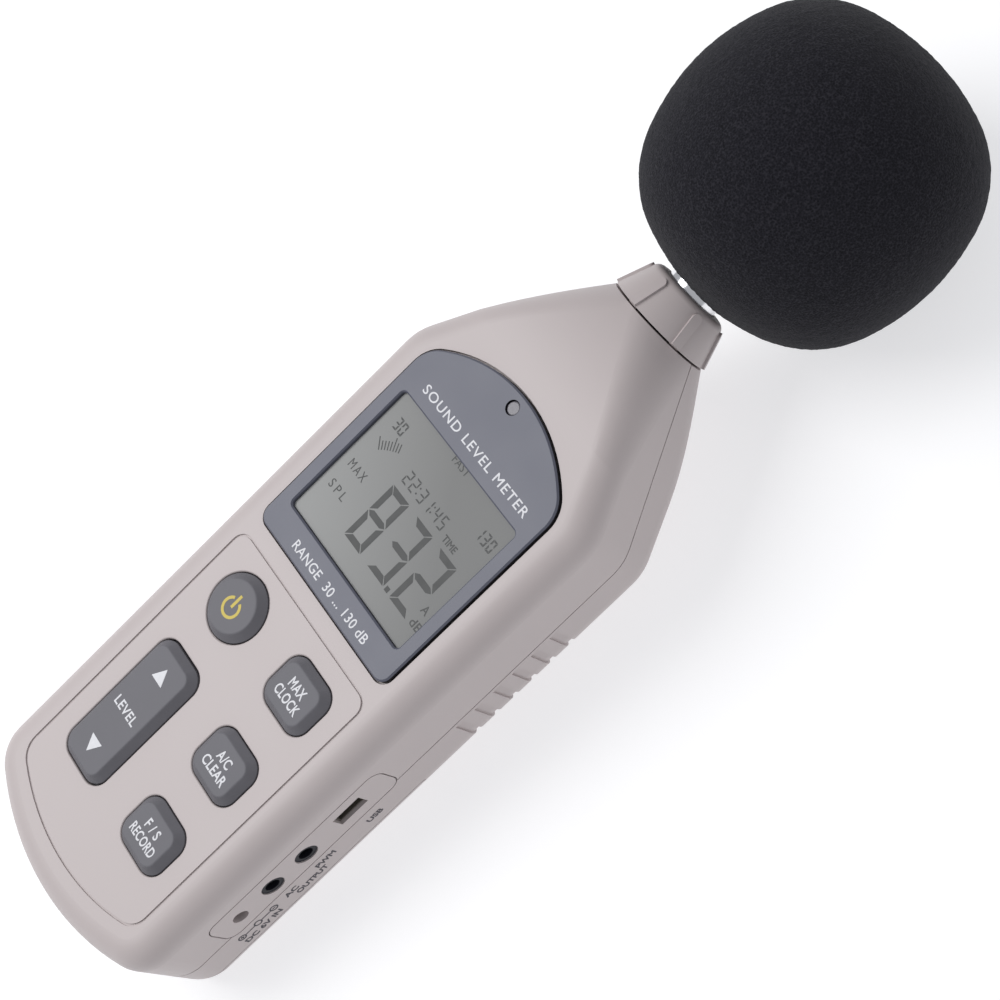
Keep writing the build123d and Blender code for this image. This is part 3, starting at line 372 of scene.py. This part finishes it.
def lettering(name, text, origin, size, mat, body, thick=PRINT_T, facing=FACE, bold=0.0, spacing=1.0):
    """Words as thin solid letters, centred on the origin; size is (width, height) in mm."""
    curve = bpy.data.curves.new(name, "FONT")
    curve.body = text
    curve.size = 1.0
    curve.bevel_depth = bold
    curve.bevel_resolution = 0
    curve.space_character = spacing
    curve.resolution_u = 4
    curve.extrude = 0.5
    draft = link_object(name + "_draft", curve)
    bpy.context.view_layer.update()
    mesh = bpy.data.meshes.new_from_object(draft.evaluated_get(bpy.context.evaluated_depsgraph_get()))
    bpy.data.objects.remove(draft)
    low = Vector([min(v.co[axis] for v in mesh.vertices) for axis in range(3)])
    high = Vector([max(v.co[axis] for v in mesh.vertices) for axis in range(3)])
    span = high - low
    for vert in mesh.vertices:
        part = [(vert.co[axis] - low[axis]) / span[axis] for axis in range(3)]
        local = Vector(((part[0] - 0.5) * size[0], (part[1] - 0.5) * size[1], part[2] * thick))
        vert.co = facing @ (local * MM) + origin
    mesh.name = name
    mesh.shade_flat()
    return link_piece(name, mesh, mat, body)


def box_outline(x0, y0, x1, y1):
    return [(x0, y0), (x1, y0), (x1, y1), (x0, y1)]


def square(x, y, half):
    return box_outline(x - half, y - half, x + half, y + half)


def arc_band(centre_x, inner, outer, start, sweep, steps):
    """Ring or arc as outlines of four points, in mm, about (centre_x, 0); angles in degrees."""
    bands = []
    for step in range(steps):
        a0, a1 = [math.radians(start + sweep * (step + k) / steps) for k in (0, 1)]
        bands.append([(centre_x + r * math.cos(angle), r * math.sin(angle))
                      for r, angle in ((inner, a0), (outer, a0), (outer, a1), (inner, a1))])
    return bands


# 7-segment digits: which of the segments a to g are lit
LIT = {"0": "abcdef", "1": "bc", "2": "abged", "3": "abgcd", "4": "fgbc", "5": "afgcd", "8": "abcdefg"}


def digit(char, x0, y0, x1, y1, t, gap):
    """Outlines in mm of a 7-segment digit between two corners, t thick."""
    ym = (y0 + y1) / 2
    h = t / 2
    mitre, tip = t * 0.9, t * 0.7

    def across(y, down, up):
        return [(x0 + gap + down, y - h), (x1 - gap - down, y - h), (x1 - gap - up, y + h),
                (x0 + gap + up, y + h)]

    def upright(x, low, high, way):
        inner, outer = x - way * h, x + way * h
        return [(outer, low + gap), (outer, high - gap), (inner, high - gap - mitre),
                (inner, low + gap + mitre)]

    shapes = {
        "a": across(y1 - h, t, 0.0),
        "d": across(y0 + h, 0.0, t),
        "g": [(x0 + gap, ym), (x0 + gap + tip, ym - h), (x1 - gap - tip, ym - h), (x1 - gap, ym),
              (x1 - gap - tip, ym + h), (x0 + gap + tip, ym + h)],
        "f": upright(x0 + h, ym, y1, -1),
        "b": upright(x1 - h, ym, y1, 1),
        "e": upright(x0 + h, y0, ym, -1),
        "c": upright(x1 - h, y0, ym, 1),
    }
    return [shapes[key] for key in LIT[char]]


# ---------------------------------------------------------------- display
LIP_X, LIP_Y = 1.85, 1.50                   # the window reaches this far under the bezel
FILM_RISE, FILM_T = 1.3, 0.05               # film over the window, where the display seems to lie
SEGMENT_T = 0.03
DISPLAY_X, DISPLAY_Y = 2.01, 5.67           # the display's own places are measured from here
READING_T, READING_GAP = 1.55, 0.22         # large digits: thickness, and gap round each segment
CLOCK_T, RANGE_T, SMALL_GAP = 0.36, 0.40, 0.08
COLON_HALF, POINT_HALF = 0.2, 0.62
BAR_MIDDLE, BAR_R = Vector((-8.0, 12.7)), 15.6              # circle that the level bar's ticks stand on
TICKS, TICK_START, TICK_STEP = 8, -45.0, 2.75               # degrees
TICK_HALF, TICK_LONG, TICK_SHORT = 0.13, 3.1, 2.1

window_low, window_high = [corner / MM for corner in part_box("lcd_window")]
film_top = window_high.z + FILM_RISE
film = box_outline(window_low.x + LIP_X, window_low.y + LIP_Y, window_high.x - LIP_X, window_high.y - LIP_Y)
slab("display_film", [film], at(0, 0, film_top - FILM_T), display_backing, CASE, thick=FILM_T)


def show(name, outlines):
    slab(name, outlines, at(DISPLAY_X, DISPLAY_Y, film_top), segment_ink, CASE, thick=SEGMENT_T)


def legend(name, text, x0, x1, y0, y1, bold=0.0, spacing=1.0):
    origin = at(DISPLAY_X + (x0 + x1) / 2, DISPLAY_Y + (y0 + y1) / 2, film_top)
    lettering(name, text, origin, (x1 - x0, y1 - y0), segment_ink, CASE, thick=SEGMENT_T, bold=bold,
              spacing=spacing)


def small_digits(row, y0, y1, t):
    """Small digits, each given as (character, left, right)."""
    outlines = []
    for char, x0, x1 in row:
        outlines += digit(char, x0, y0, x1, y1, t, SMALL_GAP)
    return outlines


def bar_ticks():
    """Fan of ticks at the start of the level bar: every fifth one is longer."""
    ticks = []
    for step in range(TICKS):
        angle = math.radians(TICK_START + TICK_STEP * step)
        out = Vector((math.sin(angle), math.cos(angle)))
        half = Vector((out.y, -out.x)) * TICK_HALF
        foot = BAR_MIDDLE + out * BAR_R
        tip = foot + out * (TICK_LONG if step % 5 == 0 else TICK_SHORT)
        ticks.append([tuple(point) for point in (foot - half, foot + half, tip + half, tip - half)])
    return ticks


reading = []
for char, x0, y0, x1, y1 in (("8", -9.9, 6.2, -3.2, 21.8), ("3", -0.1, 6.2, 6.6, 21.7),
                             ("2", 9.5, 5.9, 16.4, 21.6)):
    reading += digit(char, x0, y0, x1, y1, READING_T, READING_GAP)
reading.append(square(7.85, 6.6, POINT_HALF))
show("display_reading", reading)

clock = small_digits([("2", -9.3, -7.5), ("2", -6.8, -5.0), ("3", -3.5, -1.7), ("1", -0.8, 0.9),
                      ("4", 2.4, 4.1), ("5", 4.9, 6.6)], 23.6, 27.0, CLOCK_T)
for x in (-4.3, 1.6):
    clock += [square(x, y, COLON_HALF) for y in (24.5, 26.0)]
show("display_clock", clock)

range_ends = small_digits([("3", -21.0, -19.5), ("0", -19.0, -17.5)], 29.3, 32.4, RANGE_T)
range_ends += small_digits([("1", 13.2, 14.7), ("3", 15.3, 16.8), ("0", 17.4, 18.9)], 29.0, 32.1, RANGE_T)
show("display_range", range_ends)
show("display_bar", bar_ticks())

legend("display_time", "TIME", 8.3, 13.0, 22.8, 24.5, bold=0.018)
legend("display_fast", "FAST", -4.0, 1.6, 35.2, 37.2, spacing=1.1)
legend("display_max", "MAX", -22.0, -16.0, 16.1, 18.3, spacing=1.35)
legend("display_spl", "SPL", -22.0, -16.1, 9.8, 12.0, spacing=1.5)
legend("display_weighting", "A", 17.2, 19.1, 9.7, 11.8, bold=0.01)
legend("display_unit", "dB", 17.4, 20.9, 6.0, 8.1, bold=0.01)


# ---------------------------------------------------------------- bezel
def bezel_line(name, words, x, up, size, spacing):
    """A line of white words, the given distance up from the bezel's lower edge."""
    low, high = [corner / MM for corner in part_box("display_bezel")]
    lettering(name, words, at(x, low.y + up, high.z), size, print_white, CASE, bold=0.008,
              spacing=spacing)


bezel_line("bezel_range", "RANGE  30 ... 130 dB", 0.9, 3.3, (30.5, 2.4), 1.05)
bezel_line("bezel_words", "SOUND LEVEL METER", 1.0, 48.0, (40.5, 2.3), 1.15)


# ---------------------------------------------------------------- key markings
KEY_WORD_H = 2.55
KEY_WORD_RISE = 1.7         # middle of the key to the middle of each of its two lines
ARROW_RISE = 11.4
RING_IN, RING_OUT = 1.95, 2.68              # power sign: an open ring and a bar through its gap
RING_START, RING_SWEEP = 118, 304           # degrees
STEM_HALF, STEM_H = 0.38, 3.6
SIGN_DROP = 0.4


def key_middle(node):
    low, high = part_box(node)
    return (low.x + high.x) / 2 / MM, (low.y + high.y) / 2 / MM, high.z / MM


for node, body, upper, lower, upper_w, lower_w in (
        ("max_key", "max_button", "MAX", "CLOCK", 5.4, 8.6),
        ("weighting_key", "weighting_button", "A/C", "CLEAR", 4.5, 8.6),
        ("response_key", "response_button", "F / S", "RECORD", 4.9, 9.3)):
    x, y, top = key_middle(node)
    for row, words, width, rise in (("upper", upper, upper_w, KEY_WORD_RISE),
                                    ("lower", lower, lower_w, -KEY_WORD_RISE)):
        lettering(f"{node}_{row}_words", words, at(x, y + rise, top), (width, KEY_WORD_H), print_white, body,
                  bold=0.020, spacing=1.05)

x, y, top = key_middle("level_key")
lettering("level_words", "LEVEL", at(x - 0.1, y - 0.2, top), (8.3, 2.4), print_white, "level_rocker",
          bold=0.018, spacing=1.1)
arrow_up = [(-2.1, -1.7), (2.1, -1.7), (0.0, 2.1)]
arrow_down = [(px, -py) for px, py in reversed(arrow_up)]
for name, arrow, rise in (("level_up", arrow_up, ARROW_RISE), ("level_down", arrow_down, -ARROW_RISE)):
    slab(name, [arrow], at(x, y + rise, top), print_white, "level_rocker")

x, y, top = key_middle("power_key")
power_sign = [band[::-1] for band in arc_band(0.0, RING_IN, RING_OUT, RING_START, RING_SWEEP, 40)]
power_sign.append(box_outline(-STEM_HALF, 0.0, STEM_HALF, STEM_H))
slab("power_sign", power_sign, at(x, y - SIGN_DROP, top), print_yellow, "power_button")


# ---------------------------------------------------------------- prints beside the sockets
SIDE_WORD_H = 1.9
SOCKET_R = 3.25             # lower end of a round socket's node to its axis
CIRCLE_STEP = 5.1           # polarity sign: middle to middle of its three circles
CIRCLE_IN, CIRCLE_OUT = 0.75, 1.15
side_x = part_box("rear_shell")[1].x / MM


def socket_y(node):
    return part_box(node)[0].y / MM + SOCKET_R


def side_words(name, words, y0, y1, z):
    lettering(name, words, at(side_x, (y0 + y1) / 2, z), (y1 - y0, SIDE_WORD_H), print_dark, CASE,
              facing=SIDE, bold=0.03)


def polarity_sign():
    """Three circles on a line: plus at the lower end, minus at the other."""
    outlines = []
    for centre in (-CIRCLE_STEP, 0.0, CIRCLE_STEP):
        outlines += arc_band(centre, CIRCLE_IN, CIRCLE_OUT, 0, 360, 24)
    outlines += [box_outline(x0, -0.18, x1, 0.18) for x0, x1 in ((-3.9, -1.2), (1.2, 3.9))]
    outlines += [box_outline(x0, -0.16, x0 + 1.0, 0.16) for x0 in (4.6, -5.6)]
    outlines += [box_outline(-5.26, y0, -4.94, y0 + 0.3) for y0 in (0.2, -0.5)]
    return outlines


dc_y, ac_y, pwm_y = socket_y("dc_jack"), socket_y("ac_jack"), socket_y("pwm_jack")
usb_low, usb_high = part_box("usb_socket")
usb_y = (usb_low.y + usb_high.y) / 2 / MM
side_words("side_dc", "DC 6V IN", dc_y - 6.9, dc_y + 4.4, 8.8)
side_words("side_ac", "AC", ac_y - 2.5, ac_y + 1.5, 11.6)
side_words("side_pwm", "PWM", pwm_y - 2.9, pwm_y + 2.8, 11.6)
side_words("side_output", "OUTPUT", ac_y - 0.4, ac_y + 9.1, 9.1)
side_words("side_usb", "USB", usb_y - 1.6, usb_y + 2.9, 10.6)
slab("side_polarity", polarity_sign(), at(side_x, dc_y - 0.8, 11.7), print_dark, CASE, facing=SIDE)


# ---------------------------------------------------------------- foam windscreen
HOLE_R = 0.0070
FLAT_R, ROUND_R = 0.0507, 0.0250            # radii of the outline's flatter and rounder arcs
LUMP_SCALE, LUMP_DEPTH = 38.0, 0.0005
NAP_SCALE, NAP_DEPTH = 900.0, 0.00014
MOUTH = [(0.0, 0.024), (0.0, 0.012), (0.0, 0.0022), (0.0001, 0.0012), (0.0005, 0.0005)]
MOUTH_R = 0.0012                            # hole's wall to where the ball's own outline starts

foam_low, foam_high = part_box("windscreen")
foam_mid = (foam_low + foam_high) / 2
foam_r = (foam_high.x - foam_low.x) / 2


def foam_radius(angle):
    """Middle to surface: flatter arcs at the poles and the middle, rounder ones in between."""
    flat_c = foam_r - FLAT_R
    round_c = (flat_c + math.sqrt(2 * (FLAT_R - ROUND_R)**2 - flat_c**2)) / 2
    folded = angle % (math.pi / 2)
    folded = min(folded, math.pi / 2 - folded)
    way = Vector((math.sin(folded), math.cos(folded)))
    reach = FLAT_R / math.hypot(round_c - flat_c, round_c)
    if folded < math.atan2(round_c * reach, flat_c + (round_c - flat_c) * reach):
        middle, radius = Vector((0.0, flat_c)), FLAT_R
    else:
        middle, radius = Vector((round_c, round_c)), ROUND_R
    along = way.dot(middle)
    return along + math.sqrt(along**2 - middle.length_squared + radius**2)


def build_foam(rings=170, spokes=340):
    """Lathed ball with a rounded mouth, then pushed about by slow lumps and a short nap."""
    start = math.asin((HOLE_R + MOUTH_R) / foam_r)
    profile = [(HOLE_R + out, -foam_r + deep) for out, deep in MOUTH]
    for step in range(rings + 1):
        angle = start + (math.pi - start) * step / rings
        r = foam_radius(angle)
        profile.append((r * math.sin(angle), -r * math.cos(angle)))
    verts, faces = [], []
    for r, along in profile[:-1]:
        for spoke in range(spokes):
            turn = 2 * math.pi * spoke / spokes
            verts.append(Vector((r * math.cos(turn), along, r * math.sin(turn))))
    pole = len(verts)
    verts.append(Vector((0, profile[-1][1], 0)))
    for row in range(len(profile) - 2):
        for spoke in range(spokes):
            nxt = (spoke + 1) % spokes
            faces.append([row * spokes + spoke, (row + 1) * spokes + spoke,
                          (row + 1) * spokes + nxt, row * spokes + nxt])
    last = (len(profile) - 2) * spokes
    faces += [[last + spoke, pole, last + (spoke + 1) % spokes] for spoke in range(spokes)]
    faces.append(list(range(spokes)))
    for k in range(spokes * (len(MOUTH) - 1), len(verts)):
        vert = verts[k]
        lump = noise.noise(vert * LUMP_SCALE + Vector((3.1, 0.4, 1.7))) * LUMP_DEPTH
        nap = noise.noise(vert * NAP_SCALE) * NAP_DEPTH
        verts[k] = vert + vert.normalized() * (lump + nap)
    mesh = bpy.data.meshes.new("foam_ball")
    mesh.from_pydata([v + foam_mid for v in verts], [], faces)
    mesh.validate()
    mesh.shade_smooth()
    return mesh


ball = link_piece("foam_ball", build_foam(), foam, "foam_windscreen")
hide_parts("windscreen")


# ---------------------------------------------------------------- floor
END_R = 0.0075              # rounding of the case's lower back edge
FLOOR_HALF = 4.0
FLOOR_GAP = 0.0002


def add_floor():
    """Pale plane that the ball and the lower back edge rest on."""
    end_y, end_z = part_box("battery_door")[0].y + END_R, END_R
    gap = Vector((foam_mid.y - end_y, foam_mid.z - end_z))
    ball_r = (foam_high.z - foam_low.z) / 2
    tilt = math.atan2(gap.y, gap.x) - math.asin((ball_r - END_R) / gap.length)
    normal = Vector((0, -math.sin(tilt), math.cos(tilt)))
    along = Vector((0, math.cos(tilt), math.sin(tilt)))
    foot = Vector((0, end_y, end_z)) - normal * (END_R + FLOOR_GAP)
    corners = [foot + Vector((x * FLOOR_HALF, 0, 0)) + along * y * FLOOR_HALF
               for x, y in ((-1, -1), (1, -1), (1, 1), (-1, 1))]
    mesh = bpy.data.meshes.new("floor")
    mesh.from_pydata(corners, [], [[0, 1, 2, 3]])
    floor = link_object("floor", mesh)
    paint(floor, finish("floor_paper", (0.50, 0.50, 0.50), 0.9, mottle=(4, 0.004),
                        Emission_Color=(0.98, 0.98, 1.0, 1.0), Emission_Strength=0.62))


add_floor()
